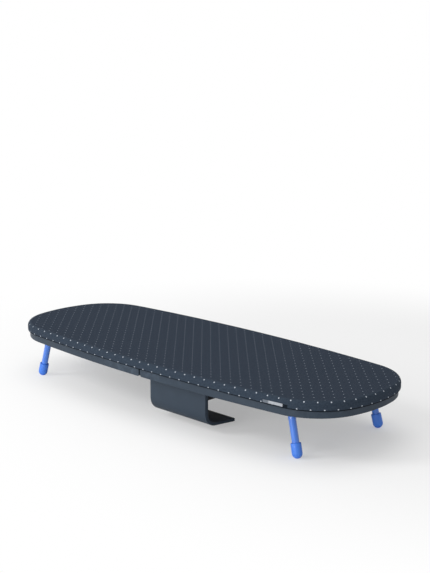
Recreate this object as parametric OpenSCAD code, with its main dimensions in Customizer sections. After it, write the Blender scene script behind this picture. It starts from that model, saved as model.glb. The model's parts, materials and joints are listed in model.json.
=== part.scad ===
// Folding table-top ironing board. Two padded halves meet at a hinge just under the cover, and
// fold with their covers together. Two U-shaped leg frames swing into the trays underneath, and
// a wide hook below the right half hangs the folded board over a door.
// X runs along the board, Y across it, Z up. The origin is on the floor under its middle.

/* [Board outline] */
// Length of the padded top
board_l = 800; // [760:1:860]
// Width of the padded top
board_w = 294.6; // [280:0.2:320]
// Radius of the long, nearly straight sides
side_r = 2786; // [2200:1:3600]
// Radius of the two ends
end_r = 223; // [205:1:240]
// Radius of the corners between sides and ends
corner_r = 102.6; // [90:0.2:112]

/* [Heights] */
// Height of the padded top above the floor
board_h = 101; // [90:0.5:120]
// Height of the tray's rim
rim_h = 14; // [12.5:0.5:18]
// Thickness of the deck panel
deck_t = 9.7; // [8.5:0.1:12]
// Thickness of the foam pad
pad_t = 4.2; // [3.6:0.1:6]

/* [Tray] */
// How far the rim stands back under the cover
rim_inset = 3.8; // [3:0.1:6]
// Wall of the rim
rim_wall = 2.5; // [2:0.1:3.5]
// Thickness of the plate that closes the tray
plate_t = 2.5; // [2:0.1:3.5]
// Rounding of the rim's lower edge
rim_edge_r = 1.6; // [1:0.1:2]
// Open slit between the two trays
split_gap = 3.5; // [2:0.1:5]
// Rounding of the trays' lower corners at the slit
split_corner_r = 5; // [3:0.1:8]
// Depth of the stiffening ribs
rib_h = 4; // [2:0.1:5]
// Thickness of the stiffening ribs
rib_t = 2; // [1.6:0.1:3]
// Length of a steam slot
vent_l = 30; // [20:1:34]
// Width of a steam slot
vent_w = 6; // [4:0.5:8]
// Number of steam slots in a row
vent_n = 4; // [3:1:5]
// Distance of the first steam slots from the fold
vent_x0 = 115; // [105:1:125]
// Distance of the last steam slots from the leg pivot
vent_in = 39.2; // [37:0.1:45]

/* [Soft top] */
// Thickness of the fabric cover
cover_t = 0.8; // [0.6:0.1:1.2]
// Rounding of the cover's upper edge
cover_edge_r = 6.7; // [5:0.1:8]
// Width of the hem that is gripped under the deck
hem_w = 10; // [8:0.5:12]
// Length of the blank side label
label_l = 38; // [30:1:60]
// Height of the side label
label_h = 6; // [4:0.5:8]
// Thickness of the folded side label
label_t = 0.7; // [0.4:0.1:1]
// Distance of the label from the middle of the board
label_x = 292; // [240:1:292]

/* [Fold hinge] */
// Depth of the hinge line below the padded top
hinge_drop = 2.5; // [2.4:0.1:3]
// Length of the hinge
hinge_l = 240; // [200:5:250]
// Number of knuckles
knuckle_n = 10; // [6:2:14]
// Radius of a knuckle
knuckle_r = 2; // [1.8:0.1:2.1]
// Radius of the hinge pin
pin_r = 1; // [0.8:0.05:1.1]
// Width of a hinge leaf
leaf_w = 14; // [12:0.5:18]
// Thickness of a hinge leaf
leaf_t = 1; // [0.8:0.1:1.1]
// Largest angle of the fold
fold_max = 170; // [160:1:172]

/* [Legs] */
// Radius of the leg tube
tube_r = 6; // [5.5:0.1:6.5]
// Wall of the leg tube
tube_wall = 1; // [0.8:0.1:1.5]
// Distance of the feet from the end of the board
foot_in_x = 78; // [70:1:95]
// Distance of the feet from the sides of the board
foot_in_y = 44.3; // [40:0.1:50]
// Outward lean of the legs
leg_lean = 14.6; // [12:0.2:18]
// Sideways splay of each leg
leg_splay = 3; // [2:0.5:4]
// Bend radius of the tube
bend_r = 18; // [16:1:22]
// Radius of a foot cap
cap_r = 8.5; // [7.8:0.1:9.5]
// Length of a foot cap
cap_l = 25; // [20:1:30]
// Depth of the flat worn on the cap's dome
cap_flat = 0.8; // [0.5:0.1:1.2]
// Wall of a leg bracket round the tube
bracket_wall = 1.6; // [1.4:0.1:2.4]
// Width of a leg bracket along the tube
bracket_w = 14; // [10:1:18]
// Distance of the leg brackets from the legs
bracket_in = 39.3; // [34:0.1:48]
// Length of the lug that stops a leg frame
lug_l = 28; // [20:1:40]

/* [Door hook] */
// Width of the hook
hook_w = 133; // [110:1:140]
// Start of the hook, from the middle of the board
hook_x = 10.8; // [10:0.1:16]
// Least distance from the hook's outer face to the rim's inner wall
hook_in = 9.3; // [8:0.1:16]
// Height of the hook's lowest face above the floor
hook_floor = 13; // [10:0.5:16]
// Thickness of the upright wall
web_t = 6.8; // [6:0.1:8]
// Thickness of the lip
lip_t = 4.8; // [4:0.1:6]
// Reach of the lip from the outer face
lip_reach = 73.8; // [65:0.1:76]
// Outer radius of the bend
hook_bend_r = 25; // [22:0.5:28]
// Rounding of the lip's corners
lip_corner_r = 6; // [3:0.5:10]
// Thickness of the flange against the tray
flange_t = 4; // [3:0.1:5]
// Reach of the flange and the door pad from the outer face
flange_reach = 53; // [50:1:60]
// Gap that takes the door
door_gap = 38.9; // [36:0.1:40]
// Wall of the hollow door pad
pad_wall = 3; // [2.4:0.1:4]

/* [Lock] */
// Width of the lock bolt
bolt_w = 20; // [16:1:24]
// Thickness of the lock bolt
bolt_t = 4; // [3.5:0.1:4.2]
// Length of the lock bolt
bolt_l = 58; // [54:1:60]
// Travel of the lock bolt
bolt_travel = 24; // [20:1:25]
// Wall of the lock's guide and keeper
guide_wall = 2; // [1.6:0.1:2.2]
// Length of the guide
guide_l = 46; // [44:1:50]
// Length of the keeper
keeper_l = 28; // [27:1:34]

/* [Fasteners and fits] */
// Radius of the screw shanks
screw_r = 1.75; // [1.5:0.05:2]
// Radius of the screw heads
head_r = 3.5; // [3:0.1:3.8]
// Height of the screw heads
head_h = 2; // [1.5:0.1:2.4]
// Depth that a screw bites into its post
bite = 6; // [5:0.5:7]
// Radial clearance of running pins and shafts
run_fit = 0.05; // [0.03:0.01:0.08]
// Radial clearance of fixed pieces
seat_fit = 0.05; // [0.02:0.01:0.1]
// Clearance between parts that slide past each other
slide_fit = 0.3; // [0.2:0.05:0.4]

/* [Hidden] */
$fn = 48;
big = 1000;

navy = [0.11, 0.14, 0.19];
slate = [0.17, 0.21, 0.27];
blue = [0.16, 0.36, 0.82];
black = [0.05, 0.05, 0.06];
steel = [0.7, 0.71, 0.73];

// Heights, from the top down
deck_z1 = board_h - cover_t - pad_t;
line_z = deck_z1 - deck_t;
ceil_z = line_z - plate_t;
rim_z = line_z - rim_h;
axis_z = board_h - hinge_drop;

// Leg frames: the pivot lies close below the plate, and the caps stand on the floor
pivot_z = ceil_z - bracket_wall - run_fit - tube_r;
cap_z = cap_r - cap_flat;
half_l = board_l / 2;
half_w = board_w / 2;
foot_x = half_l - foot_in_x;
foot_y = half_w - foot_in_y;
leg_x = foot_x - (pivot_z - cap_z) * tan(leg_lean);
leg_d = (pivot_z - cap_z) / (cos(leg_splay) * cos(leg_lean));
leg_y = foot_y - leg_d * sin(leg_splay);
bracket_y = leg_y - bracket_in;
bend_t = bend_r * tan((90 - leg_splay) / 2);
tube_end = 2;
elbow_in = 2.5;
elbow_bead = 0.4;
lug_a = 35;
lug_t = 2.5;
bracket_foot = 3;
bracket_reach = 16;
bracket_end = 6;

// Plan outline: side, corner and end arcs that touch each other
side_c = [0, half_w - side_r];
end_c = [half_l - end_r, 0];
d_se = norm(end_c - side_c);
d_sc = side_r - corner_r;
d_ec = end_r - corner_r;
along = (d_se * d_se + d_sc * d_sc - d_ec * d_ec) / (2 * d_se);
off = sqrt(d_sc * d_sc - along * along);
dir_se = (end_c - side_c) / d_se;
corner_c = side_c + along * dir_se + off * [dir_se[1], -dir_se[0]];
a_side = atan2(corner_c[1] - side_c[1], corner_c[0] - side_c[0]);
a_end = atan2(corner_c[1] - end_c[1], corner_c[0] - end_c[0]);

// Points of an arc, without its first one
function arc(c, r, a0, a1, n) =
    [for (i = [1:n]) c + r * [cos(a0 + (a1 - a0) * i / n), sin(a0 + (a1 - a0) * i / n)]];
// One quarter of the outline, drawn in by o
function quarter(o) = concat(
    [[0, half_w - o]],
    arc(side_c, side_r - o, 90, a_side, 5),
    arc(corner_c, corner_r - o, a_side, a_end, 12),
    arc(end_c, end_r - o, a_end, 0, 8)
);
// The right half of the outline, drawn in by o
function half(o) = let (q = quarter(o), n = len(q) - 1)
    concat(q, [for (i = [n - 1:-1:0]) [q[i][0], -q[i][1]]]);
// Half width of the outline at a distance x from the middle, on its side arc
function side_y(x, o) = side_c[1] + sqrt((side_r - o) * (side_r - o) - x * x);

module prism(o, z0, z1) {
    translate([0, 0, z0])
    linear_extrude(z1 - z0)
    polygon(half(o));
}

// Joins closed rings of points, equally many in each, into one solid
module loft(rings) {
    n = len(rings[0]);
    m = len(rings);
    polyhedron([for (ring = rings) each ring], concat(
        [[for (i = [0:n - 1]) i]],
        [[for (i = [n - 1:-1:0]) (m - 1) * n + i]],
        [for (k = [0:m - 2]) for (i = [0:n - 1])
            [k * n + i, (k + 1) * n + i, (k + 1) * n + (i + 1) % n, k * n + (i + 1) % n]]
    ));
}

function ring_at(o, z) = [for (p = half(o)) [p[0], p[1], z]];
// Half slab with its upper edge rounded by r1, as far down as z0, and its lower edge by r0
module slab(o, z0, z1, r0, r1) {
    s1 = r1 < 1 ? 1 : 5;
    a1 = z1 - r1 < z0 ? acos(1 - (z1 - z0) / r1) : 90;
    loft(concat(
        [for (k = [0:s1]) let (a = a1 * k / s1)
            ring_at(o + r1 * (1 - sin(a)), z1 - r1 * (1 - cos(a)))],
        r0 == 0 ? [] : [for (k = [0:4]) let (a = 22.5 * k)
            ring_at(o + r0 * (1 - cos(a)), z0 + r0 * (1 - sin(a)))],
        r0 == 0 && a1 == 90 ? [ring_at(o, z0)] : []
    ));
}

// What lies on the far side of the plane x = x0, kept clear at the fold
module before(x0) {
    translate([-big + x0, -big / 2, -1])
    cube([big, big, big]);
}

// The valley above the hinge line that lets both halves fold together, lowered by d
valley = 90 - fold_max / 2;
valley_gap = 0.2;
module valley_cut(d) {
    translate([0, -big / 2, axis_z - valley_gap - d])
    rotate([0, -valley, 0])
    translate([-big / 2, 0, 0])
    cube([big, big, big]);
}

// Slots through the plate and the deck, in rows that the ribs leave free
wall_in = rim_inset + rim_wall;
hook_y = side_y(hook_x + hook_w, wall_in) - hook_in;
row_y = hook_y - flange_reach;
vent_pitch = (leg_x - vent_in - vent_x0) / (vent_n - 1);
vent_xs = [for (i = [0:vent_n - 1]) vent_x0 + i * vent_pitch];
vent_y = row_y - 5;
vent_ys = [-vent_y, 0, vent_y];
rib_xs = [for (x = vent_xs) x - vent_pitch / 2];
rib_y = row_y - 1;
rib_x1 = vent_xs[vent_n - 1] + vent_l / 2 + 4;
module vents(z0, z1) {
    for (x = vent_xs) for (y = vent_ys) {
        translate([x - vent_l / 2, y - vent_w / 2, z0])
        cube([vent_l, vent_w, z1 - z0]);
    }
}

// Lock
lock_side = bolt_w / 2 + slide_fit + guide_wall + head_r + 1;
guide_x = 6;
grip_l = 10;
grip_w = 12;
grip_x = 32;
bolt_z1 = ceil_z - slide_fit;
bolt_x = split_gap / 2 + 1;
ear_t = 2;

// Places of the screws
seam_screw = [34, row_y - 13];
side_screw_x = 172;
side_screw = [side_screw_x, side_y(side_screw_x, wall_in) - 13.7];
end_screw = corner_c + (corner_r - wall_in - 27.2) * [cos(33), sin(33)];
deck_xy = [for (p = [seam_screw, side_screw, end_screw]) for (sy = [-1, 1]) [p[0], sy * p[1]]];
hook_cx = hook_x + hook_w / 2;
hook_screw_in = 12.2;
hook_screw_x = hook_w / 2 - 22;
hook_screw_ys = [web_t + hook_screw_in, flange_reach - hook_screw_in];
hook_xy = [for (sx = [-1, 1]) for (y = hook_screw_ys) [hook_cx + sx * hook_screw_x, y - hook_y]];
bracket_xy = [for (sx = [-1, 1]) for (sy = [-1, 1]) [leg_x + sx * bracket_reach, sy * bracket_y]];
guide_xy = [for (sy = [-1, 1]) for (x = [8, guide_l - 8]) [guide_x + x, sy * lock_side]];
keeper_xy = [for (sy = [-1, 1]) [guide_x + keeper_l / 2, sy * lock_side]];

module holes(xy, r, z0, z1) {
    for (p = xy) {
        translate([p[0], p[1], z0])
        cylinder(h = z1 - z0, r = r);
    }
}

// Screws with their heads below z, driven up by a length l
module screws(xy, z, l) {
    for (p = xy) {
        translate([p[0], p[1], z - head_h])
        cylinder(h = head_h, r = head_r);
        translate([p[0], p[1], z])
        cylinder(h = l, r = screw_r);
    }
}

module tray(xy, window_y) {
    difference() {
        union() {
            difference() {
                slab(rim_inset, rim_z, line_z, rim_edge_r, 0.4);
                intersection() {
                    prism(rim_inset + rim_wall, rim_z - 1, ceil_z);
                    translate([split_gap / 2 + rim_wall, -big / 2, 0])
                    cube([big, big, big]);
                }
            }
            for (y = [-vent_y / 2, vent_y / 2]) {
                translate([rib_xs[0], y - rib_t / 2, ceil_z - rib_h])
                cube([rib_x1 - rib_xs[0], rib_t, rib_h + 1]);
            }
            for (x = rib_xs) {
                translate([x - rib_t / 2, -rib_y, ceil_z - rib_h])
                cube([rib_t, 2 * rib_y, rib_h + 1]);
            }
        }
        before(split_gap / 2);
        // Rounded lower corner at the slit
        difference() {
            translate([split_gap / 2 - 1, -big / 2, rim_z - 1])
            cube([split_corner_r + 1, big, split_corner_r + 1]);
            translate([split_gap / 2 + split_corner_r, -big / 2, rim_z + split_corner_r])
            rotate([-90, 0, 0])
            cylinder(h = big, r = split_corner_r);
        }
        // Window for the lock bolt
        translate([0, -window_y, ceil_z - bolt_t - 3 * slide_fit])
        cube([split_gap / 2 + rim_wall + 1, 2 * window_y, bolt_t + 3 * slide_fit]);
        vents(ceil_z - 1, line_z + 1);
        holes(xy, screw_r + seat_fit, ceil_z - 1, line_z + 1);
    }
}

// Deck panel, hollowed from below between its rim and its ribs
deck_skin = 3;
deck_edge_r = 1.5;
pocket_l = vent_pitch - 12;
pocket_w = 50;
deck_gap = 0.3;
module deck(xy) {
    difference() {
        slab(cover_t + seat_fit, line_z, deck_z1, 0, deck_edge_r);
        before(deck_gap);
        // Step for the hem
        difference() {
            prism(0, line_z - 1, line_z + cover_t + seat_fit);
            prism(cover_t + hem_w + seat_fit, line_z - 2, line_z + cover_t + 1);
        }
        for (x = vent_xs) for (y = vent_ys) {
            translate([x - pocket_l / 2, y - pocket_w / 2, line_z - 1])
            cube([pocket_l, pocket_w, deck_t - deck_skin + 1]);
        }
        vents(line_z, deck_z1 + 1);
        holes(xy, screw_r + seat_fit, line_z - 1, line_z + bite + 0.5);
        hinge_holes();
    }
}

// Outer shape of the soft top, drawn in by d on every side but the fold
module soft(d, z0) {
    difference() {
        slab(d, z0, board_h - d, 0, cover_edge_r - d);
        before(deck_gap);
        valley_cut(d);
    }
}

// Room for the hinge, its leaf and its knuckles, out to x1
module hinge_room(x1, z0, z1) {
    translate([-1, -hinge_l / 2 - slide_fit, z0])
    cube([x1 + 1, hinge_l + 2 * slide_fit, z1 - z0]);
}

module foam() {
    difference() {
        soft(cover_t + seat_fit, line_z + cover_t + seat_fit);
        translate([-1, -big / 2, 0])
        cube([big, big, deck_z1]);
        hinge_room(leaf_x0 + leaf_w + slide_fit, 0, deck_z1 + leaf_t + slide_fit / 2);
        hinge_room(foam_x0, 0, big);
    }
}
foam_x0 = 9;

module cover() {
    difference() {
        soft(0, line_z);
        difference() {
            soft(cover_t, line_z + cover_t);
            before(-1);
        }
        prism(cover_t + hem_w, line_z - 1, line_z + cover_t + 1);
        hinge_room(leaf_x0 + slide_fit, 0, big);
        hinge_room(leaf_x0 + leaf_w, 0, deck_z1 + leaf_t + slide_fit / 2);
    }
}

// Piano hinge: knuckles in turn on the right and the left leaf
leaf_x0 = knuckle_r + slide_fit;
pitch = hinge_l / knuckle_n;
hinge_screw_r = 1.25;
hinge_head_r = 2.2;
hinge_head_h = 0.8;
hinge_screw_ys = [for (i = [0:5]) (i - 2.5) * hinge_l / 6];
hinge_screw_x = leaf_x0 + leaf_w / 2;
module hinge_holes() {
    for (y = hinge_screw_ys) {
        translate([hinge_screw_x, y, deck_z1 - bite - 0.5])
        cylinder(h = bite + 1, r = hinge_screw_r + seat_fit);
    }
}

module hinge_leaf(first) {
    difference() {
        union() {
            translate([leaf_x0, -hinge_l / 2, deck_z1])
            cube([leaf_w, hinge_l, leaf_t]);
            for (i = [first:2:knuckle_n - 1]) {
                y0 = -hinge_l / 2 + i * pitch + slide_fit / 2;
                translate([0, y0, axis_z])
                rotate([-90, 0, 0])
                cylinder(h = pitch - slide_fit, r = knuckle_r);
                translate([0, y0, deck_z1 + 0.1])
                cube([leaf_x0 + 1, pitch - slide_fit, leaf_t - 0.1]);
            }
        }
        translate([0, -hinge_l / 2 - 1, axis_z])
        rotate([-90, 0, 0])
        cylinder(h = hinge_l + 2, r = pin_r + run_fit);
        for (y = hinge_screw_ys) {
            translate([hinge_screw_x, y, deck_z1 - 1])
            cylinder(h = leaf_t + 2, r = hinge_screw_r + seat_fit);
            translate([hinge_screw_x, y, deck_z1 + leaf_t - hinge_head_h])
            cylinder(h = 1, r = hinge_head_r + seat_fit);
        }
    }
}

module hinge_pin() {
    color(steel)
    translate([0, -hinge_l / 2, axis_z])
    rotate([-90, 0, 0])
    cylinder(h = hinge_l, r = pin_r);
}

module hinge_screws() {
    for (y = hinge_screw_ys) {
        translate([hinge_screw_x, y, deck_z1 - bite])
        cylinder(h = bite + leaf_t - hinge_head_h / 2, r = hinge_screw_r);
        translate([hinge_screw_x, y, deck_z1 + leaf_t - hinge_head_h])
        cylinder(h = hinge_head_h, r = hinge_head_r);
    }
}

label_up = 1;
label_gap = 0.1;
module side_label() {
    turn = asin(label_x / side_r);
    y = side_y(label_x, 0);
    color([0.6, 0.62, 0.66])
    translate([label_x, -y, line_z + label_up])
    rotate([0, 0, turn])
    translate([-label_l / 2, -label_t - label_gap, 0])
    cube([label_l, label_t, label_h]);
}

// Leg frames

// Swings what is drawn round the pivot line into the leg's lean
module at_pivot() {
    translate([leg_x, 0, pivot_z])
    rotate([0, -leg_lean, 0])
    children();
}

// Straight tubes of radius r and wall w, which run a little way into the elbows
module tubes(r, w) {
    bar = leg_y - bend_t + elbow_in;
    difference() {
        translate([0, -bar, 0])
        rotate([-90, 0, 0])
        cylinder(h = 2 * bar, r = r);
        translate([0, -bar - 1, 0])
        rotate([-90, 0, 0])
        cylinder(h = 2 * bar + 2, r = r - w);
    }
    for (side = [0, 1]) {
        mirror([0, side, 0])
        translate([0, leg_y, 0])
        rotate([180 + leg_splay, 0, 0])
        difference() {
            translate([0, 0, bend_t - elbow_in])
            cylinder(h = leg_d - bend_t + elbow_in - tube_end, r = r);
            translate([0, 0, bend_t - elbow_in - 1])
            cylinder(h = leg_d, r = r - w);
        }
    }
}

module elbows(r) {
    for (side = [0, 1]) {
        mirror([0, side, 0])
        translate([0, leg_y - bend_t, -bend_r])
        rotate([90, 0, 90])
        rotate([0, 0, leg_splay])
        rotate_extrude(angle = 90 - leg_splay)
        translate([bend_r, 0])
        circle(r = r);
    }
}

// The lug on the crossbar meets the plate when the legs are out
module leg_frame() {
    lug_r = (ceil_z - pivot_z - slide_fit) / sin(lug_a);
    union() {
        at_pivot() {
            tubes(tube_r, tube_wall);
            elbows(tube_r + elbow_bead);
        }
        translate([leg_x, -lug_l / 2, pivot_z])
        rotate([0, -lug_a, 0])
        translate([tube_r - tube_wall / 2, 0, -lug_t])
        cube([lug_r - tube_r + tube_wall / 2, lug_l, lug_t]);
    }
}

// Cap on the foot of a leg, with a small flat on the floor
module foot_cap(side) {
    difference() {
        at_pivot()
        mirror([0, side > 0 ? 0 : 1, 0])
        translate([0, leg_y, 0])
        rotate([180 + leg_splay, 0, 0])
        translate([0, 0, leg_d])
        difference() {
            rotate_extrude()
            intersection() {
                union() {
                    circle(r = cap_r);
                    translate([0, -(cap_l - cap_r)])
                    square([cap_r, cap_l - cap_r]);
                }
                translate([0, -cap_l])
                square([cap_r, 2 * cap_l]);
            }
            translate([0, 0, -cap_l])
            cylinder(h = cap_l - tube_end + seat_fit, r = tube_r + seat_fit);
        }
        translate([-big / 2, -big / 2, -big])
        cube([big, big, big]);
    }
}

module leg_bracket(side) {
    color(slate)
    translate([0, side * bracket_y, 0])
    difference() {
        union() {
            translate([leg_x - bracket_reach - bracket_end, -bracket_w / 2, ceil_z - bracket_foot])
            cube([2 * (bracket_reach + bracket_end), bracket_w, bracket_foot]);
            translate([leg_x - tube_r - bracket_wall, -bracket_w / 2, pivot_z])
            cube([2 * (tube_r + bracket_wall), bracket_w, ceil_z - pivot_z]);
            translate([leg_x, -bracket_w / 2, pivot_z])
            rotate([-90, 0, 0])
            cylinder(h = bracket_w, r = tube_r + bracket_wall);
        }
        translate([leg_x, -bracket_w, pivot_z])
        rotate([-90, 0, 0])
        cylinder(h = 2 * bracket_w, r = tube_r + run_fit);
        for (sx = [-1, 1]) {
            translate([leg_x + sx * bracket_reach, 0, ceil_z - bracket_foot - 1])
            cylinder(h = bracket_foot + 2, r = screw_r + seat_fit);
        }
    }
}

// Section of the hook, [y, z]
flange_y = flange_reach - hook_y;
fillet_r = 3;
hook_in_r = hook_bend_r - (web_t + lip_t) / 2;
lip_y = lip_reach - hook_y;
hook_section = let (
    yo = -hook_y,
    tip = lip_y - lip_t / 2,
    fz = ceil_z - flange_t
) concat(
    [[yo, ceil_z]],
    [[yo, hook_floor + hook_bend_r]],
    arc([yo + hook_bend_r, hook_floor + hook_bend_r], hook_bend_r, 180, 270, 12),
    [[tip, hook_floor]],
    arc([tip, hook_floor + lip_t / 2], lip_t / 2, -90, 90, 8),
    [[yo + web_t + hook_in_r, hook_floor + lip_t]],
    arc([yo + web_t + hook_in_r, hook_floor + lip_t + hook_in_r], hook_in_r, 270, 180, 12),
    [[yo + web_t, fz - fillet_r]],
    arc([yo + web_t + fillet_r, fz - fillet_r], fillet_r, 180, 90, 4),
    [[flange_y, fz]],
    [[flange_y, ceil_z]]
);

module door_hook() {
    color(slate)
    difference() {
        translate([hook_x, 0, 0])
        rotate([90, 0, 90])
        linear_extrude(hook_w)
        polygon(hook_section);
        // Rounded corners of the lip
        for (side = [-1, 1]) {
            x = hook_cx + side * (hook_w / 2 - lip_corner_r);
            difference() {
                translate([side > 0 ? x : x - lip_corner_r - 1, lip_y - lip_corner_r, 0])
                cube([lip_corner_r + 1, lip_corner_r + 1, pad_z0]);
                translate([x, lip_y - lip_corner_r, -1])
                cylinder(h = pad_z0 + 2, r = lip_corner_r);
            }
        }
        holes(hook_xy, screw_r + seat_fit, ceil_z - flange_t - 1, ceil_z + 1);
    }
}

// Hollow block between the flange and the door
pad_z0 = hook_floor + lip_t + door_gap;
pad_z1 = ceil_z - flange_t;
pad_in = 2;
pad_relief = fillet_r + 0.2;
hook_head_z = pad_z1 - 8;
module door_pad() {
    y0 = -hook_y + web_t + slide_fit;
    x0 = hook_x + pad_in;
    l = hook_w - 2 * pad_in;
    w = flange_y - y0;
    top_h = pad_relief + pad_wall;
    color(black)
    difference() {
        union() {
            difference() {
                translate([x0, y0, pad_z0])
                cube([l, w, pad_z1 - pad_z0 - pad_relief]);
                translate([x0 + pad_wall, y0 + pad_wall, pad_z0 + pad_wall])
                cube([l - 2 * pad_wall, w - 2 * pad_wall, big]);
            }
            // Upper rim, set back from the hook's fillet
            translate([x0, y0 + pad_relief, pad_z1 - top_h])
            difference() {
                cube([l, w - pad_relief, top_h]);
                translate([pad_wall, pad_wall - pad_relief, -1])
                cube([l - 2 * pad_wall, w - 2 * pad_wall, top_h + 2]);
            }
            holes(hook_xy, head_r + seat_fit + 2, pad_z0 + 1, pad_z1);
        }
        holes(hook_xy, head_r + 0.5, pad_z0 - 1, hook_head_z);
        holes(hook_xy, screw_r + seat_fit, pad_z0 - 1, pad_z1 + 1);
    }
}

// Lock: a bolt that slides across the slit into the other tray, drawn back here
module lock_bolt() {
    color(blue)
    union() {
        translate([bolt_x, -bolt_w / 2, bolt_z1 - bolt_t])
        cube([bolt_l, bolt_w, bolt_t]);
        translate([grip_x, -grip_w / 2, rim_z + 1])
        cube([grip_l, grip_w, bolt_z1 - bolt_t / 2 - rim_z - 1]);
    }
}

// Channel under the plate, with ears for its screws
module channel(l) {
    in_w = bolt_w / 2 + slide_fit;
    in_h = bolt_t + 2 * slide_fit;
    difference() {
        union() {
            translate([guide_x, -in_w - guide_wall, ceil_z - in_h - guide_wall])
            cube([l, 2 * (in_w + guide_wall), in_h + guide_wall]);
            translate([guide_x, -lock_side - head_r - 1, ceil_z - ear_t])
            cube([l, 2 * (lock_side + head_r + 1), ear_t]);
        }
        translate([guide_x - 1, -in_w, ceil_z - in_h])
        cube([l + 2, 2 * in_w, in_h + 1]);
    }
}

module lock_guide() {
    color(slate)
    difference() {
        channel(guide_l);
        holes(guide_xy, screw_r + seat_fit, 0, big);
        translate([grip_x - bolt_travel - 0.5, -grip_w / 2 - slide_fit, 0])
        cube([grip_l + bolt_travel + 1, grip_w + 2 * slide_fit, big]);
    }
}

module lock_keeper() {
    color(slate)
    left()
    difference() {
        channel(keeper_l);
        holes(keeper_xy, screw_r + seat_fit, 0, big);
    }
}

module left() {
    mirror([1, 0, 0]) children();
}

tray_xy_right = concat(deck_xy, bracket_xy, hook_xy, guide_xy);
tray_xy_left = concat(deck_xy, bracket_xy, keeper_xy);
window = bolt_w / 2 + 2 * slide_fit;
screw_l = plate_t + bite;

module tray_right() { color(slate) tray(tray_xy_right, window); }
module tray_left() { color(slate) left() tray(tray_xy_left, window); }
module deck_right() { color([0.3, 0.32, 0.35]) deck(tray_xy_right); }
module deck_left() { color([0.3, 0.32, 0.35]) left() deck(tray_xy_left); }
module foam_right() { color([0.8, 0.8, 0.78]) foam(); }
module foam_left() { color([0.8, 0.8, 0.78]) left() foam(); }
module cover_right() { color(navy) cover(); }
module cover_left() { color(navy) left() cover(); }
module hinge_leaf_right() { color(steel) hinge_leaf(0); }
module hinge_leaf_left() { color(steel) left() hinge_leaf(1); }
module hinge_screws_right() { color(steel) hinge_screws(); }
module hinge_screws_left() { color(steel) left() hinge_screws(); }
module deck_screws_right() { color(steel) screws(deck_xy, ceil_z, screw_l); }
module deck_screws_left() { color(steel) left() screws(deck_xy, ceil_z, screw_l); }
module hook_screws() { color(steel) screws(hook_xy, hook_head_z, ceil_z - hook_head_z + screw_l); }
module leg_frame_right() { color(blue) leg_frame(); }
module leg_frame_left() { color(blue) left() leg_frame(); }
module foot_cap_right_front() { color(blue) foot_cap(-1); }
module foot_cap_right_back() { color(blue) foot_cap(1); }
module foot_cap_left_front() { color(blue) left() foot_cap(-1); }
module foot_cap_left_back() { color(blue) left() foot_cap(1); }
module leg_bracket_right_front() { leg_bracket(-1); }
module leg_bracket_right_back() { leg_bracket(1); }
module leg_bracket_left_front() { left() leg_bracket(-1); }
module leg_bracket_left_back() { left() leg_bracket(1); }
module bracket_screws_right() {
    color(steel) screws(bracket_xy, ceil_z - bracket_foot, bracket_foot + screw_l);
}
module bracket_screws_left() {
    color(steel) left() screws(bracket_xy, ceil_z - bracket_foot, bracket_foot + screw_l);
}
module lock_screws_right() { color(steel) screws(guide_xy, ceil_z - ear_t, ear_t + screw_l); }
module lock_screws_left() { color(steel) left() screws(keeper_xy, ceil_z - ear_t, ear_t + screw_l); }

tray_right();
deck_right();
foam_right();
cover_right();
hinge_leaf_right();
tray_left();
deck_left();
foam_left();
cover_left();
hinge_leaf_left();
hinge_pin();
hinge_screws_right();
hinge_screws_left();
deck_screws_right();
deck_screws_left();
side_label();
door_hook();
door_pad();
hook_screws();
leg_frame_right();
leg_frame_left();
foot_cap_right_front();
foot_cap_right_back();
foot_cap_left_front();
foot_cap_left_back();
leg_bracket_right_front();
leg_bracket_right_back();
leg_bracket_left_front();
leg_bracket_left_back();
bracket_screws_right();
bracket_screws_left();
lock_bolt();
lock_guide();
lock_keeper();
lock_screws_right();
lock_screws_left();
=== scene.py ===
# Folding table-top ironing board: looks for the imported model
import math

import bmesh
import bpy
import json
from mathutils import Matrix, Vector, geometry, noise


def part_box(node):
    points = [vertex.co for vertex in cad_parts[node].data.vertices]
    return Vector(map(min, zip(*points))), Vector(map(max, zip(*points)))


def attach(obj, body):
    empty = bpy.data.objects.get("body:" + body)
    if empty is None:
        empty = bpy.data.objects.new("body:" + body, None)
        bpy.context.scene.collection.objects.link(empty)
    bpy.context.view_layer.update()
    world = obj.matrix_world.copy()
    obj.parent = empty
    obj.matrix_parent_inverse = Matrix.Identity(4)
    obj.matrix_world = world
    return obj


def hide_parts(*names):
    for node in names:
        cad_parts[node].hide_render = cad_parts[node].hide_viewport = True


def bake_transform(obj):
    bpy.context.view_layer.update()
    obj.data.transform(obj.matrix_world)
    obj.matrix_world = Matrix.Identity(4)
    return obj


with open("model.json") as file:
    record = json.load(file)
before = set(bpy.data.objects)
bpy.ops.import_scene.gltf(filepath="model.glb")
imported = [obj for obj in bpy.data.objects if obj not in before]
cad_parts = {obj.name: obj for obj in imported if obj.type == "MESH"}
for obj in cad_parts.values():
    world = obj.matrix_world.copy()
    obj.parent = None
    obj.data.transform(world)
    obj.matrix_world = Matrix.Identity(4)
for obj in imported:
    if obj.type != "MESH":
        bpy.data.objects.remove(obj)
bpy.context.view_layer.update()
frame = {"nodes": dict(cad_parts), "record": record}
mm = 0.001

view = {
    "place": (1.5122, -1.4907, 0.6772),
    "aim": (-0.3657, 0.4101, 0.0863),
    "lens": 77.5,  # on a 36 mm sensor, along the tall side
    "roll": 0.08,
}


def addCamera(v):
    data = bpy.data.cameras.new("camera")
    data.lens = v["lens"]
    data.clip_end = 60
    cam = bpy.data.objects.new("camera", data)
    cam.location = v["place"]
    turn = (Vector(v["aim"]) - Vector(v["place"])).to_track_quat("-Z", "Y")
    cam.rotation_euler = turn.to_euler()
    cam.rotation_euler.rotate_axis("Z", math.radians(v["roll"]))
    bpy.context.scene.collection.objects.link(cam)
    bpy.context.scene.camera = cam


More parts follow.
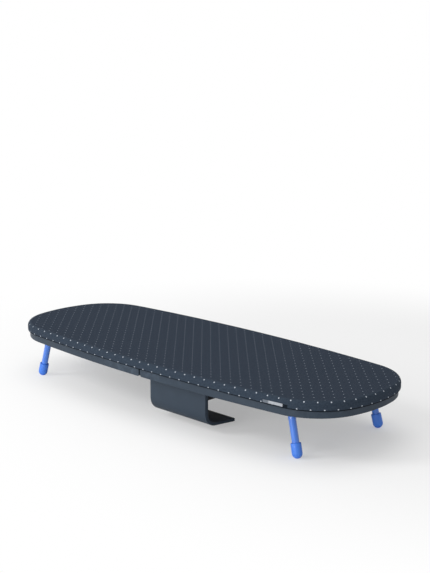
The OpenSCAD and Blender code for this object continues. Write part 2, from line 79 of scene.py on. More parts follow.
addCamera(view)
print("camera placed")


def addNode(tree, kind, **values):
    node = tree.nodes.new(kind)
    for key, value in values.items():
        setattr(node, key, value)
    return node


def feed(tree, node, socket, value):
    if isinstance(value, bpy.types.NodeSocket):
        tree.links.new(value, node.inputs[socket])
    else:
        node.inputs[socket].default_value = value


def doMath(tree, operation, *values):
    node = addNode(tree, "ShaderNodeMath", operation=operation)
    for i, value in enumerate(values):
        feed(tree, node, i, value)
    return node.outputs[0]


def doVector(tree, operation, *values, out="Vector"):
    node = addNode(tree, "ShaderNodeVectorMath", operation=operation)
    for i, value in enumerate(values):
        feed(tree, node, i, value)
    return node.outputs[out]


def addNoise(tree, vector, scale, detail=3.0, rough=0.5):
    node = addNode(tree, "ShaderNodeTexNoise")
    feed(tree, node, "Vector", vector)
    feed(tree, node, "Scale", scale)
    feed(tree, node, "Detail", detail)
    feed(tree, node, "Roughness", rough)
    return node.outputs["Fac"]


def remap(tree, value, low, high, toLow, toHigh):
    node = addNode(tree, "ShaderNodeMapRange", interpolation_type="SMOOTHSTEP")
    for i, x in enumerate((value, low, high, toLow, toHigh)):
        feed(tree, node, i, x)
    return node.outputs[0]


def mixColor(tree, factor, a, b):
    node = addNode(tree, "ShaderNodeMix", data_type="RGBA")
    feed(tree, node, 0, factor)
    feed(tree, node, 6, a)
    feed(tree, node, 7, b)
    return node.outputs[2]


def newGroup(name, inputs, outputs):
    group = bpy.data.node_groups.new(name, "ShaderNodeTree")
    for label, kind, value in inputs:
        socket = group.interface.new_socket(label, in_out="INPUT", socket_type=kind)
        if value is not None:
            socket.default_value = value
    for label, kind in outputs:
        group.interface.new_socket(label, in_out="OUTPUT", socket_type=kind)
    return group, addNode(group, "NodeGroupInput"), addNode(group, "NodeGroupOutput")


def useGroup(tree, group, **values):
    node = addNode(tree, "ShaderNodeGroup", node_tree=group)
    for key, value in values.items():
        feed(tree, node, key, value)
    return node.outputs


number, vector = "NodeSocketFloat", "NodeSocketVector"


def makePinDots():
    group, given, result = newGroup(
        "pinDots",
        [("Place", vector, None), ("Pitch", number, 0.022), ("Radius", number, 0.001),
         ("Soft", number, 0.0003)],
        [("Mask", number)],
    )
    near = []
    for shift in (0.5, 0.0):  # two square lattices make the staggered rows
        cell = doVector(group, "DIVIDE", given.outputs["Place"], given.outputs["Pitch"])
        cell = doVector(group, "ADD", cell, (shift, shift, 0.0))
        cell = doVector(group, "FRACTION", cell)
        cell = doVector(group, "SUBTRACT", cell, (0.5, 0.5, 0.0))
        cell = doVector(group, "MULTIPLY", cell, (1.0, 1.0, 0.0))
        near.append(doVector(group, "LENGTH", cell, out="Value"))
    gap = doMath(group, "MULTIPLY", doMath(group, "MINIMUM", *near), given.outputs["Pitch"])
    low = doMath(group, "SUBTRACT", given.outputs["Radius"], given.outputs["Soft"])
    high = doMath(group, "ADD", given.outputs["Radius"], given.outputs["Soft"])
    feed(group, result, "Mask", remap(group, gap, low, high, 1.0, 0.0))
    return group


def makeWeave():
    group, given, result = newGroup(
        "plainWeave",
        [("Place", vector, None), ("Thread", number, 0.0006)],
        [("Height", number), ("Fleck", number)],
    )
    cell = doVector(group, "DIVIDE", given.outputs["Place"], given.outputs["Thread"])
    split = addNode(group, "ShaderNodeSeparateXYZ")
    feed(group, split, 0, cell)
    waves = [doMath(group, "SINE", doMath(group, "MULTIPLY", split.outputs[i], math.pi))
             for i in (0, 1)]
    warp = doMath(group, "ABSOLUTE", waves[0])
    weft = doMath(group, "ABSOLUTE", waves[1])
    over = doMath(group, "GREATER_THAN", doMath(group, "MULTIPLY", *waves), 0.0)
    pick = addNode(group, "ShaderNodeMix")
    feed(group, pick, 0, over)
    feed(group, pick, 2, warp)
    feed(group, pick, 3, weft)
    feed(group, result, "Height", pick.outputs[0])
    feed(group, result, "Fleck", addNoise(group, given.outputs["Place"], 900.0, 2.0, 0.7))
    return group


def makeMould():
    group, given, result = newGroup(
        "mouldedSurface",
        [("Place", vector, None), ("Grain", number, 1800.0), ("Cloud", number, 9.0)],
        [("Height", number), ("Shade", number), ("Wear", number)],
    )
    fine = addNoise(group, given.outputs["Place"], given.outputs["Grain"], 2.0)
    cloud = addNoise(group, given.outputs["Place"], given.outputs["Cloud"], 4.0)
    feed(group, result, "Height", fine)
    feed(group, result, "Shade", remap(group, cloud, 0.3, 0.7, 0.0, 1.0))
    edge = addNode(group, "ShaderNodeNewGeometry")
    worn = remap(group, edge.outputs["Pointiness"], 0.52, 0.6, 0.0, 1.0)
    patch = addNoise(group, given.outputs["Place"], 60.0, 3.0)
    patchy = remap(group, patch, 0.4, 0.7, 0.0, 1.0)
    feed(group, result, "Wear", doMath(group, "MULTIPLY", worn, patchy))
    return group


pinDots = makePinDots()
plainWeave = makeWeave()
mouldedSurface = makeMould()
print("shared effects made")


def newMaterial(name):
    made = bpy.data.materials.new(name)
    made.use_nodes = True
    tree = made.node_tree
    shader = next(n for n in tree.nodes if n.type == "BSDF_PRINCIPLED")
    return made, tree, shader


def objectPlace(tree):
    return addNode(tree, "ShaderNodeTexCoord").outputs["Object"]


def addBump(tree, shader, height, strength, distance):
    bump = addNode(tree, "ShaderNodeBump")
    feed(tree, bump, "Strength", strength)
    feed(tree, bump, "Distance", distance)
    feed(tree, bump, "Height", height)
    feed(tree, shader, "Normal", bump.outputs[0])


finish = {  # colour, second colour, roughness, grain scale, bump, specular, coat
    "rimPlastic": ((0.030, 0.046, 0.068), (0.027, 0.042, 0.063), 0.5, 1500.0, 0.10, 0.3, 0.0),
    "bracketPlastic": ((0.027, 0.042, 0.062), (0.025, 0.039, 0.058), 0.52, 1500.0, 0.12, 0.3, 0.0),
    "blackRubber": ((0.008, 0.009, 0.012), (0.011, 0.012, 0.015), 0.72, 900.0, 0.2, 0.3, 0.0),
    "deckPlastic": ((0.08, 0.09, 0.105), (0.07, 0.08, 0.095), 0.55, 1100.0, 0.15, 0.4, 0.0),
    "legPaint": ((0.055, 0.205, 0.76), (0.050, 0.195, 0.72), 0.30, 1300.0, 0.04, 0.5, 1.0),
    "capRubber": ((0.058, 0.225, 0.84), (0.052, 0.21, 0.78), 0.42, 1000.0, 0.10, 0.5, 0.2),
    "lockPlastic": ((0.08, 0.23, 0.78), (0.075, 0.22, 0.74), 0.42, 1200.0, 0.08, 0.5, 0.0),
}


mould = {
    "wearGain": 1.5,
    "wearLift": 0.01,
    "roughDown": 0.03,
    "roughUp": 0.05,
    "coatRough": 0.09,
    "bumpDepth": 0.0004,
}


def makeMoulded(name, values, v):
    first, second, rough, grain, bump, specular, coat = values
    made, tree, shader = newMaterial(name)
    effect = useGroup(tree, mouldedSurface, Place=objectPlace(tree), Grain=grain)
    base = mixColor(tree, effect["Shade"], (*first, 1.0), (*second, 1.0))
    light = tuple(min(1.0, c * v["wearGain"] + v["wearLift"]) for c in first)
    feed(tree, shader, "Base Color", mixColor(tree, effect["Wear"], base, (*light, 1.0)))
    low, high = rough - v["roughDown"], rough + v["roughUp"]
    feed(tree, shader, "Roughness", remap(tree, effect["Shade"], 0.0, 1.0, low, high))
    shader.inputs["Specular IOR Level"].default_value = specular
    shader.inputs["Coat Weight"].default_value = coat
    shader.inputs["Coat Roughness"].default_value = v["coatRough"]
    addBump(tree, shader, effect["Height"], bump, v["bumpDepth"])
    return made


zinc = {
    "dark": (0.50, 0.51, 0.53, 1.0),
    "light": (0.62, 0.63, 0.64, 1.0),
    "stretch": (1.0, 0.08, 1.0),  # streaks run along the hinge
    "streak": 700.0,
    "rough": (0.28, 0.42),
}


def makeSteel(v):
    made, tree, shader = newMaterial("zincSteel")
    place = objectPlace(tree)
    streak = addNoise(tree, doVector(tree, "MULTIPLY", place, v["stretch"]), v["streak"], 3.0)
    feed(tree, shader, "Base Color", mixColor(tree, streak, v["dark"], v["light"]))
    feed(tree, shader, "Roughness", remap(tree, streak, 0.3, 0.7, *v["rough"]))
    shader.inputs["Metallic"].default_value = 1.0
    return made


fabric = {
    "pitch": 22.36 * mm,
    "thread": 0.55 * mm,
    "heather": 340.0,
    "rough": 0.86,
    "sheen": 0.02,
    "sheenRough": 0.5,
    "specular": 0.06,
    "dotRise": 0.8,
    "relief": 0.35,
    "reliefDepth": 0.0003,
}
cloths = {  # dark thread, light thread, dot, dot radius
    "pinDotFabric": (
        (0.019, 0.029, 0.047, 1.0), (0.033, 0.046, 0.069, 1.0),
        (0.36, 0.41, 0.48, 1.0), 0.85 * mm,
    ),
    # the band: the same cloth as the top panel, painted lighter with brighter dots, for the light
    # that falls on the band
    "bandFabricPaintedLight": (
        (0.026, 0.038, 0.057, 1.0), (0.042, 0.058, 0.082, 1.0),
        (0.55, 0.60, 0.67, 1.0), 1.1 * mm,
    ),
    # the hem: cloth painted near black, painted shade along the rolled lower edge where the cover
    # meets the rim
    "hemClothPaintedShade": (
        (0.007, 0.011, 0.017, 1.0), (0.010, 0.014, 0.021, 1.0),
        (0.008, 0.012, 0.019, 1.0), 1.0 * mm,
    ),
}


def makeFabric(name, v, dark, light, dot, radius):
    made, tree, shader = newMaterial(name)
    uv = addNode(tree, "ShaderNodeUVMap", uv_map="cloth").outputs["UV"]
    weave = useGroup(tree, plainWeave, Place=uv, Thread=v["thread"])
    dots = useGroup(tree, pinDots, Place=uv, Pitch=v["pitch"], Radius=radius)
    heather = addNoise(tree, uv, v["heather"], 3.0, 0.65)
    tone = doMath(tree, "ADD", doMath(tree, "MULTIPLY", weave["Fleck"], 0.4),
                  doMath(tree, "MULTIPLY", heather, 0.6))
    cloth = mixColor(tree, remap(tree, tone, 0.35, 0.65, 0.0, 1.0), dark, light)
    feed(tree, shader, "Base Color", mixColor(tree, dots["Mask"], cloth, dot))
    shader.inputs["Roughness"].default_value = v["rough"]
    shader.inputs["Sheen Weight"].default_value = v["sheen"]
    shader.inputs["Sheen Roughness"].default_value = v["sheenRough"]
    shader.inputs["Specular IOR Level"].default_value = v["specular"]
    dotHeight = doMath(tree, "MULTIPLY", dots["Mask"], v["dotRise"])
    raised = doMath(tree, "ADD", weave["Height"], dotHeight)
    addBump(tree, shader, raised, v["relief"], v["reliefDepth"])
    return made


foamLook = {
    "dark": (0.62, 0.60, 0.54, 1.0),
    "light": (0.70, 0.68, 0.62, 1.0),
    "cells": 1600.0,
    "rough": 0.95,
    "relief": 0.5,
    "reliefDepth": 0.0005,
}


def makeFoam(v):
    made, tree, shader = newMaterial("paleFoam")
    cells = addNoise(tree, objectPlace(tree), v["cells"], 2.0)
    feed(tree, shader, "Base Color", mixColor(tree, cells, v["dark"], v["light"]))
    shader.inputs["Roughness"].default_value = v["rough"]
    addBump(tree, shader, cells, v["relief"], v["reliefDepth"])
    return made


labelLook = {
    "thread": 0.35 * mm,
    "brightFrom": (0.285, 0.289),  # the painted shade on the left part of the label ends here along X
    # the back tones are painted shade on the left part of the label, where it lies in shade; the
    # front tones are the label's own colour
    "back": ((0.11, 0.13, 0.16, 1.0), (0.14, 0.16, 0.19, 1.0)),
    "front": ((0.33, 0.35, 0.39, 1.0), (0.41, 0.43, 0.47, 1.0)),
    "rough": 0.7,
    "relief": 0.3,
    "reliefDepth": 0.0002,
}


def makeLabelCloth(v):
    made, tree, shader = newMaterial("labelCloth")
    place = objectPlace(tree)
    weave = useGroup(tree, plainWeave, Place=place, Thread=v["thread"])
    split = addNode(tree, "ShaderNodeSeparateXYZ")
    feed(tree, split, 0, place)
    # left of this the label takes the darker back tones, painted shade
    bright = remap(tree, split.outputs[0], *v["brightFrom"], 0.0, 1.0)
    back = mixColor(tree, weave["Fleck"], *v["back"])
    front = mixColor(tree, weave["Fleck"], *v["front"])
    feed(tree, shader, "Base Color", mixColor(tree, bright, back, front))
    shader.inputs["Roughness"].default_value = v["rough"]
    addBump(tree, shader, weave["Height"], v["relief"], v["reliefDepth"])
    return made


moulded = {name: makeMoulded(name, values, mould) for name, values in finish.items()}
steel = makeSteel(zinc)
pinDotFabric, bandFabricPaintedLight, hemClothPaintedShade = [
    makeFabric(name, fabric, *values) for name, values in cloths.items()
]
paleFoam = makeFoam(foamLook)
labelCloth = makeLabelCloth(labelLook)

materialOf = {
    "rim_plastic": moulded["rimPlastic"],
    "bracket_plastic": moulded["bracketPlastic"],
    "black_rubber": moulded["blackRubber"],
    "deck_plastic": moulded["deckPlastic"],
    "leg_paint": moulded["legPaint"],
    "cap_rubber": moulded["capRubber"],
    "lock_plastic": moulded["lockPlastic"],
    "steel": steel,
    "foam": paleFoam,
    "label_fabric": labelCloth,
    "cover_fabric": pinDotFabric,
}
for part in frame["record"]["subparts"]:
    obj = frame["nodes"][part["node"]]
    obj.data.materials.clear()
    obj.data.materials.append(materialOf[part["material_slot"]])
print("finishes given to the fixed parts")

roundedEdges = {  # CAD node: radius, body
    "door_hook": (2.3 * mm, "right_half"),
    "door_pad": (1.5 * mm, "right_half"),
    "foot_cap_right_front": (1.6 * mm, "right_legs"),
    "foot_cap_right_back": (1.6 * mm, "right_legs"),
    "foot_cap_left_front": (1.6 * mm, "left_legs"),
    "foot_cap_left_back": (1.6 * mm, "left_legs"),
}
rounding = {
    "weld": 0.01 * mm,
    "flat": math.radians(1),
    "sharp": math.radians(40),
    "smooth": math.radians(35),
    "segments": 4,
}
hookSag = {
    "lower": 2.5 * mm,  # the whole lip
    "tilt": 4.0 * mm,  # more at the tip
    "bendTop": 40.0 * mm,
    "webTop": 56.0 * mm,
    "lipStart": 27.0 * mm,
}


def sagHook(mesh, v):
    low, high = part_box("door_hook")
    reach = high.y - low.y
    for point in mesh.vertices:
        down = max(0.0, min(1.0, (v["webTop"] - point.co.z) / (v["webTop"] - v["bendTop"])))
        along = max(0.0, (point.co.y - low.y - v["lipStart"]) / (reach - v["lipStart"]))
        point.co.z -= v["lower"] * down
        if down == 1.0:
            point.co.z -= v["tilt"] * along


def roundEdges(node, radius, body, v):
    mesh = frame["nodes"][node].data.copy()
    bm = bmesh.new()
    bm.from_mesh(mesh)
    bmesh.ops.remove_doubles(bm, verts=bm.verts, dist=v["weld"])
    bmesh.ops.dissolve_limit(bm, angle_limit=v["flat"], verts=bm.verts, edges=bm.edges)
    sharp = [e for e in bm.edges if e.is_manifold and e.calc_face_angle() > v["sharp"]]
    bmesh.ops.bevel(bm, geom=sharp, offset=radius, segments=v["segments"], profile=0.5,
                    affect="EDGES", clamp_overlap=True)
    bm.to_mesh(mesh)
    bm.free()
    if node == "door_hook":
        sagHook(mesh, hookSag)
    mesh.shade_smooth()
    mesh.set_sharp_from_angle(angle=v["smooth"])
    made = bpy.data.objects.new("rounded_" + node, mesh)
    bpy.context.scene.collection.objects.link(made)
    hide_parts(node)
    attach(made, body)


for node, (radius, body) in roundedEdges.items():
    roundEdges(node, radius, body, rounding)
print("edges rounded")

coverLow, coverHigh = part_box("cover_right")
outline = {
    "halfLength": coverHigh.x,
    "halfWidth": coverHigh.y,
    "sideRadius": 2.786,
    "endRadius": 0.223,
    "cornerRadius": 0.1026,
    "nearFold": (0.0, 0.7, 1.4, 2.1, 2.8, 3.6, 4.6, 6.0, 8.5),  # mm from the fold
    "step": 6.0,  # mm, further out
    "cornerSteps": 30,
    "endSteps": 9,
    "same": 1e-7,
}


def findCorner(v):
    side = Vector((0.0, v["halfWidth"] - v["sideRadius"]))
    end = Vector((v["halfLength"] - v["endRadius"], 0.0))
    reach = (end - side).length
    a = v["sideRadius"] - v["cornerRadius"]
    b = v["endRadius"] - v["cornerRadius"]
    along = (reach * reach + a * a - b * b) / (2 * reach)
    off = math.sqrt(a * a - along * along)
    way = (end - side) / reach
    corner = side + along * way + off * Vector((way.y, -way.x))
    return side, corner, end


sideCentre, cornerCentre, endCentre = findCorner(outline)


def quarterStations(v):
    toSide = cornerCentre - sideCentre
    toEnd = cornerCentre - endCentre
    aSide = math.atan2(toSide.y, toSide.x)
    aEnd = math.atan2(toEnd.y, toEnd.x)
    xs = list(v["nearFold"])
    last = v["sideRadius"] * math.cos(aSide) / mm
    while xs[-1] + v["step"] < last:
        xs.append(xs[-1] + v["step"])
    stations = [(sideCentre, v["sideRadius"], math.acos(x * mm / v["sideRadius"])) for x in xs]
    for k in range(1, v["cornerSteps"] + 1):
        angle = aSide + (aEnd - aSide) * k / v["cornerSteps"]
        stations.append((cornerCentre, v["cornerRadius"], angle))
    for k in range(1, v["endSteps"] + 1):
        stations.append((endCentre, v["endRadius"], aEnd * (1 - k / v["endSteps"])))
    return stations


def fullRing(inset):
    quarter = []
    for centre, radius, angle in quarterStations(outline):
        way = Vector((math.cos(angle), math.sin(angle)))
        quarter.append(centre + (radius - inset) * way)
    flips = ((1, 1), (1, -1), (-1, -1), (-1, 1))
    ring = []
    for i, (sx, sy) in enumerate(flips):
        part = quarter if i % 2 == 0 else list(reversed(quarter))
        for p in part:
            place = (sx * p.x, sy * p.y)
            if not ring or math.dist(ring[-1], place) > outline["same"]:
                ring.append(place)
    if math.dist(ring[0], ring[-1]) < outline["same"]:
        ring.pop()
    return ring


def insideOutline(x, y, inset):
    p = Vector((abs(x), abs(y)))
    fromSide, fromEnd = p - sideCentre, p - endCentre
    if fromSide.length > outline["sideRadius"] - inset:
        return False
    if fromEnd.length > outline["endRadius"] - inset:
        return False
    toSide, toEnd = cornerCentre - sideCentre, cornerCentre - endCentre
    beyondSide = fromSide.x * toSide.y > fromSide.y * toSide.x
    belowEnd = fromEnd.y * toEnd.x > fromEnd.x * toEnd.y
    if beyondSide and belowEnd:
        return (p - cornerCentre).length < outline["cornerRadius"] - inset
    return True


cover = {
    "top": coverHigh.z,
    "bottom": coverLow.z,
    "edgeRadius": 6.7 * mm,
    "thickness": 0.8 * mm,
    "topInsets": (16.0 * mm, 12.0 * mm, 9.0 * mm),
    "edgeSteps": 8,
    "wallSteps": 4,
    "roll": 2.2 * mm,  # rolled lower edge
    "rollSteps": 3,
    "hemInsets": (4.0 * mm, 6.5 * mm, 9.0 * mm),
    "hemLift": 0.02 * mm,
    "grid": 7.0 * mm,
    "rimClear": 3.0 * mm,
    "foldColumns": (1.2 * mm, 2.4 * mm, 3.6 * mm, 5.0 * mm),
    "gap": (0.312, 0.320),  # painted shade beside the label, where a small opening in the hem shows dark
    "notchShadeHeight": 3.0 * mm,
    "hemStart": 0.1 * mm,
    "endDrop": 2.6 * mm,  # the hem hangs lower towards the ends
    "dropStart": 0.45,
    "foldHalf": 3.4 * mm,
    "lift": 0.12 * mm,
    "liftScale": 30.0,
    "dotStart": (20.0 * mm, 9.0 * mm),  # a dot of the top panel
    "bandStart": 2.9 * mm,  # set off along the edge
    "bandRow": 4.7 * mm,  # first row of dots below the edge
    "bandScale": 1.035,
    "flat": (0.36, 0.866),
}
onTopPanel = 1e-6  # a run below this lies on the top panel


def coverProfile(v):
    rows = []
    radius, roll = v["edgeRadius"], v["roll"]
    for inset in v["topInsets"]:
        rows.append((inset, v["top"], radius - inset))
    for k in range(v["edgeSteps"] + 1):
        a = math.radians(90 * k / v["edgeSteps"])
        z = v["top"] - radius * (1 - math.cos(a))
        rows.append((radius * (1 - math.sin(a)), z, radius * a))
    arc = radius * math.pi / 2
    wallTop, wallLow = v["top"] - radius, v["bottom"] + roll
    for k in range(1, v["wallSteps"] + 1):
        z = wallTop + (wallLow - wallTop) * k / v["wallSteps"]
        rows.append((0.0, z, arc + wallTop - z))
    arc += wallTop - wallLow
    for k in range(1, v["rollSteps"] + 1):
        a = math.radians(90 * k / v["rollSteps"])
        rows.append((roll * (1 - math.cos(a)), wallLow - roll * math.sin(a), arc + roll * a))
    arc += roll * math.pi / 2
    for inset in v["hemInsets"]:
        rows.append((inset, v["bottom"] + v["hemLift"], arc + inset - roll))
    return rows


def bandLengths(v):
    outer = fullRing(0.0)
    start = min(range(len(outer)), key=lambda i: abs(outer[i][0]) + (outer[i][1] > 0))
    run, lengths = 0.0, []
    for i in range(len(outer) + 1):
        lengths.append(run)
        run += math.dist(outer[i % len(outer)], outer[(i + 1) % len(outer)])
    # the ring runs towards -X on the near side
    return [v["bandStart"] - lengths[start] + x for x in lengths]


def swell(v, x, y):
    return noise.noise(Vector((x * v["liftScale"], y * v["liftScale"], 3.0))) * v["lift"]


def coverPoints(v, rows):
    points, runs = [], []
    for inset, z, run in rows:
        onTop = max(0.0, min(1.0, (z - v["bottom"]) / (v["top"] - v["bottom"])))
        for x, y in fullRing(inset):
            outward = max(0.0, abs(x) / outline["halfLength"] - v["dropStart"])
            drop = v["endDrop"] * outward / (1 - v["dropStart"])
            if inset > v["roll"]:
                drop = 0.0
            points.append((x, y, z + swell(v, x, y) * onTop - drop * (1 - onTop)))
            runs.append(run)
    return points, runs


def fillTop(v, firstInset, count, points, runs, faces):
    rim = [Vector(p) for p in fullRing(firstInset)]
    inner = []
    step = v["grid"]
    reach = int(outline["halfLength"] / step) + 1
    across = int(outline["halfWidth"] / step) + 1
    columns = sorted({round(i * step, 5) for i in range(-reach, reach + 1)}
                     | {side * x for side in (-1, 1) for x in v["foldColumns"]})
    for n, x in enumerate(columns):
        shift = step / 2 if n % 2 else 0.0
        for k in range(-across, across + 1):
            y = k * step + shift
            if insideOutline(x, y, firstInset + v["rimClear"]):
                inner.append(Vector((x, y)))
    loop = [(i, (i + 1) % count) for i in range(count)]
    made = geometry.delaunay_2d_cdt(rim + inner, loop, [list(range(count))], 1, 1e-6)
    flatPoints, flatFaces, origin = made[0], made[2], made[3]
    index = {}
    for i, p in enumerate(flatPoints):
        old = [k for k in origin[i] if k < count]
        if old:
            index[i] = old[0]
        else:
            index[i] = len(points)
            points.append((p.x, p.y, v["top"] + swell(v, p.x, p.y)))
            runs.append(-1.0)
    for f in flatFaces:
        faces.append(tuple(index[i] for i in f))


def coverKinds(v, wallEnd, points, runs, faces):
    kinds = []  # 0 top panel, 1 band painted lighter, 2 hem and the notch beside the label, painted shade
    for face in faces:
        middle = sum((Vector(points[i]) for i in face), Vector()) / len(face)
        lowest = max(runs[i] for i in face)
        byLabel = v["gap"][0] < middle.x < v["gap"][1] and middle.y < 0
        # the hem rows and a small notch beside the label take the dark hem cloth, painted shade
        inNotchShade = byLabel and lowest > wallEnd - v["notchShadeHeight"]
        inHemShade = lowest > wallEnd + v["hemStart"] or inNotchShade
        kinds.append(2 if inHemShade else 1 if lowest > onTopPanel else 0)
    return kinds


def layCloth(v, mesh, count, points, runs):
    layer = mesh.uv_layers.new(name="cloth")
    band = bandLengths(v)
    for face in mesh.polygons:
        onBand = max(runs[i] for i in face.vertices) > onTopPanel
        places = [i % count for i in face.vertices]
        wraps = onBand and max(places) - min(places) > 1
        for k in face.loop_indices:
            i = mesh.loops[k].vertex_index
            if onBand:
                along = band[count if wraps and i % count == 0 else i % count]
                layer.data[k].uv = (along * v["bandScale"], runs[i] - v["bandRow"])
            else:
                x, y = points[i][:2]
                layer.data[k].uv = (x - v["dotStart"][0], y - v["dotStart"][1])


def makeCover(v):
    rows = coverProfile(v)
    count = len(fullRing(v["edgeRadius"]))
    wallEnd = max(run for inset, z, run in rows if inset == 0.0)
    points, runs = coverPoints(v, rows)
    faces = []
    for r in range(len(rows) - 1):
        for i in range(count):
            j = (i + 1) % count
            low, high = r * count, (r + 1) * count
            faces.append((low + i, low + j, high + j, high + i))
    fillTop(v, rows[0][0], count, points, runs, faces)
    mesh = bpy.data.meshes.new("cover")
    mesh.from_pydata(points, [], faces)
    layCloth(v, mesh, count, points, runs)
    bm = bmesh.new()
    bm.from_mesh(mesh)
    bmesh.ops.recalc_face_normals(bm, faces=bm.faces)
    bm.to_mesh(mesh)
    bm.free()
    mesh.shade_smooth()
    # the band takes the cloth painted lighter, and the hem takes the cloth painted dark as shade
    for made in (pinDotFabric, bandFabricPaintedLight, hemClothPaintedShade):
        mesh.materials.append(made)
    for i, kind in enumerate(coverKinds(v, wallEnd, points, runs, faces)):
        mesh.polygons[i].material_index = kind
    obj = bpy.data.objects.new("cover", mesh)
    bpy.context.scene.collection.objects.link(obj)
    return obj


coverPiece = makeCover(cover)
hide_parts("cover_right", "cover_left")
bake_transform(coverPiece)
thick = coverPiece.modifiers.new("cloth thickness", "SOLIDIFY")
thick.thickness = cover["thickness"]
thick.offset = -1.0

foamLow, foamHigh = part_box("foam_right")
foam = {
    "low": foamLow.z + 0.1 * mm,
    "high": foamHigh.z,
    "start": foamLow.x + 0.2 * mm,
    "inset": 1.0 * mm,
    "edgeRadius": 5.7 * mm,
    "edgeSteps": 6,
    "topInsets": (20 * mm, 60 * mm),
    "ringClear": 2.0 * mm,
    "valley": math.tan(math.radians(5.0)),  # leaves room for the full fold
    "valleyWidth": 29.0 * mm,
}


def padHeight(v, x, z):
    drop = max(0.0, (v["valleyWidth"] - abs(x)) * v["valley"])
    return min(z, v["high"] - drop)


def halfRing(v, inset):
    start = v["start"]
    right = [p for p in fullRing(inset) if p[0] > start + v["ringClear"]]
    upper = sorted((p for p in right if p[1] >= 0), key=lambda p: math.atan2(p[1], p[0]))
    lower = sorted((p for p in right if p[1] < 0), key=lambda p: math.atan2(p[1], p[0]))
    ring = lower + upper
    return [(start, ring[0][1])] + ring + [(start, ring[-1][1])]


def makePad(v, side):
    rows = [(v["inset"], v["low"]), (v["inset"], v["high"] - v["edgeRadius"])]
    for k in range(1, v["edgeSteps"] + 1):
        a = math.radians(90 * k / v["edgeSteps"])
        lift = v["edgeRadius"] * (1 - math.sin(a))
        rows.append((v["inset"] + v["edgeRadius"] * (1 - math.cos(a)), v["high"] - lift))
    rows += [(inset, v["high"]) for inset in v["topInsets"]]
    bm = bmesh.new()
    rings = []
    for inset, z in rows:
        made = []
        for x, y in halfRing(v, inset):
            made.append(bm.verts.new((side * x, y, padHeight(v, x, z))))
        rings.append(made)
    for low, high in zip(rings, rings[1:]):
        n = len(low)
        for i in range(n):
            j = (i + 1) % n
            bm.faces.new((low[i], low[j], high[j], high[i]))
    bm.faces.new(rings[0])
    bm.faces.new(rings[-1])
    bmesh.ops.recalc_face_normals(bm, faces=bm.faces)
    mesh = bpy.data.meshes.new("pad")
    bm.to_mesh(mesh)
    bm.free()
    pad = bpy.data.objects.new("foam_pad_right" if side > 0 else "foam_pad_left", mesh)
    bpy.context.scene.collection.objects.link(pad)
    mesh.materials.append(paleFoam)
    return pad


for side, body, node in ((1, "right_half", "foam_right"), (-1, "left_half", "foam_left")):
    pad = makePad(foam, side)
    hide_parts(node)
    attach(pad, body)
print("foam pads made")

labelLow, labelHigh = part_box("side_label")
label = {
    "left": labelLow.x + 3.0 * mm,
    "right": labelHigh.x + 3.0 * mm,
    "low": labelLow.z + 0.6 * mm,
    "high": labelHigh.z - 0.8 * mm,
    "clear": 0.15 * mm,
    "thickness": 0.35 * mm,
    "curl": 0.35 * mm,
    "wave": (0.6, 0.4, 9.0),  # least share, swing, radians from end to end
    "tipStart": 0.9,
    "tipCurl": 6.0,
    "columns": 28,
    "rows": 6,
}


def sideFace(x):
    return -(sideCentre.y + math.sqrt(outline["sideRadius"] ** 2 - x * x))


def makeLabel(v):
    bm = bmesh.new()
    least, swing, sweep = v["wave"]
    cols, rows = v["columns"], v["rows"]
    grid = []
    for i in range(cols + 1):
        u = i / cols
        x = v["left"] + u * (v["right"] - v["left"])
        column = []
        for k in range(rows + 1):
            w = k / rows
            z = v["low"] + w * (v["high"] - v["low"])
            out = v["clear"] + v["curl"] * (1 - w) ** 2 * (least + swing * math.sin(u * sweep))
            out += v["curl"] * max(0.0, u - v["tipStart"]) * v["tipCurl"]
            column.append(bm.verts.new((x, sideFace(x) - out, z)))
        grid.append(column)
    for a, b in zip(grid, grid[1:]):
        for k in range(rows):
            bm.faces.new((a[k], b[k], b[k + 1], a[k + 1]))
    bmesh.ops.recalc_face_normals(bm, faces=bm.faces)
    mesh = bpy.data.meshes.new("label")
    bm.to_mesh(mesh)
    bm.free()
    for face in mesh.polygons:
        face.use_smooth = True
    made = bpy.data.objects.new("woven_label", mesh)
    bpy.context.scene.collection.objects.link(made)
    body = made.modifiers.new("thickness", "SOLIDIFY")
    body.thickness = v["thickness"]
    body.offset = 0.0
    mesh.materials.append(labelCloth)
    return made


labelPiece = makeLabel(label)
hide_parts("side_label")
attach(labelPiece, "right_half")
print("label made")

stage = {
    "size": 30.0,
    "centre": (-0.15, -0.32, 0.0),  # added to the place on the floor
    "fadeStart": 0.35,
    "fadeEnd": 0.85,
    "glow": 0.35,  # painted light: share of plain white glow under the board, which lightens the board's shadow
    "floor": (0.93, 0.93, 0.93, 1.0),
    "rough": 0.9,
    "specular": 0.1,
    "squeeze": (0.8, 1.0, 1.0),  # the glow reaches further along X
}


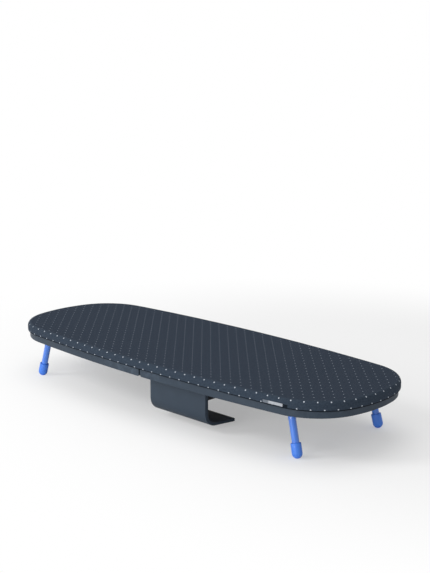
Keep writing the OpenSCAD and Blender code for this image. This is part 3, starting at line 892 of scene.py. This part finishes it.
def makeFloor(v):
    mesh = bpy.data.meshes.new("floor")
    s = v["size"]
    mesh.from_pydata([(-s, -s, 0), (s, -s, 0), (s, s, 0), (-s, s, 0)], [], [(0, 1, 2, 3)])
    floor = bpy.data.objects.new("floor", mesh)
    bpy.context.scene.collection.objects.link(floor)
    made, tree, shader = newMaterial("paleFloor")
    shader.inputs["Base Color"].default_value = v["floor"]
    shader.inputs["Roughness"].default_value = v["rough"]
    shader.inputs["Specular IOR Level"].default_value = v["specular"]
    out = next(n for n in tree.nodes if n.type == "OUTPUT_MATERIAL")
    place = doVector(tree, "ADD", objectPlace(tree), v["centre"])
    place = doVector(tree, "MULTIPLY", place, v["squeeze"])
    away = doVector(tree, "LENGTH", place, out="Value")
    # painted light for the camera: the floor glows, so the board's shadow on it reads lighter,
    # fading to plain white further out
    fade = remap(tree, away, v["fadeStart"], v["fadeEnd"], v["glow"], 1.0)
    path = addNode(tree, "ShaderNodeLightPath")
    seen = doMath(tree, "MULTIPLY", fade, path.outputs["Is Camera Ray"])
    glow = addNode(tree, "ShaderNodeEmission")
    mix = addNode(tree, "ShaderNodeMixShader")
    feed(tree, mix, 0, seen)
    feed(tree, mix, 1, shader.outputs[0])
    feed(tree, mix, 2, glow.outputs[0])
    feed(tree, out, 0, mix.outputs[0])
    mesh.materials.append(made)


lamps = {  # place, size, watts
    "key": ((-1.5, -2.0, 1.9), 1.0, 26.0),
    "top": ((-0.3, 0.3, 2.4), 2.2, 16.0),
    "fill": ((0.2, -2.8, 0.7), 1.8, 36.0),
}
lampAim = (0.0, 0.0, 0.05)
skyStrength = 0.5  # light from all around


def addLamp(name, values):
    place, size, watts = values
    data = bpy.data.lights.new(name, "AREA")
    data.shape = "DISK"
    data.size = size
    data.energy = watts
    lamp = bpy.data.objects.new(name, data)
    lamp.location = place
    lamp.rotation_euler = (Vector(lampAim) - Vector(place)).to_track_quat("-Z", "Y").to_euler()
    bpy.context.scene.collection.objects.link(lamp)


def makeWorld(soft):
    world = bpy.data.worlds.new("paleRoom")
    bpy.context.scene.world = world
    world.use_nodes = True
    tree = world.node_tree
    back = next(n for n in tree.nodes if n.type == "BACKGROUND")
    back.inputs["Color"].default_value = (1.0, 1.0, 1.0, 1.0)
    path = addNode(tree, "ShaderNodeLightPath")
    seen = doMath(tree, "MAXIMUM", path.outputs["Is Camera Ray"],
                  path.outputs["Is Transmission Ray"])
    feed(tree, back, "Strength", remap(tree, seen, 0.0, 1.0, soft, 1.0))


makeFloor(stage)
for name, values in lamps.items():
    addLamp(name, values)
makeWorld(skyStrength)
bpy.context.scene.view_settings.view_transform = "Standard"
print("floor and lights set")
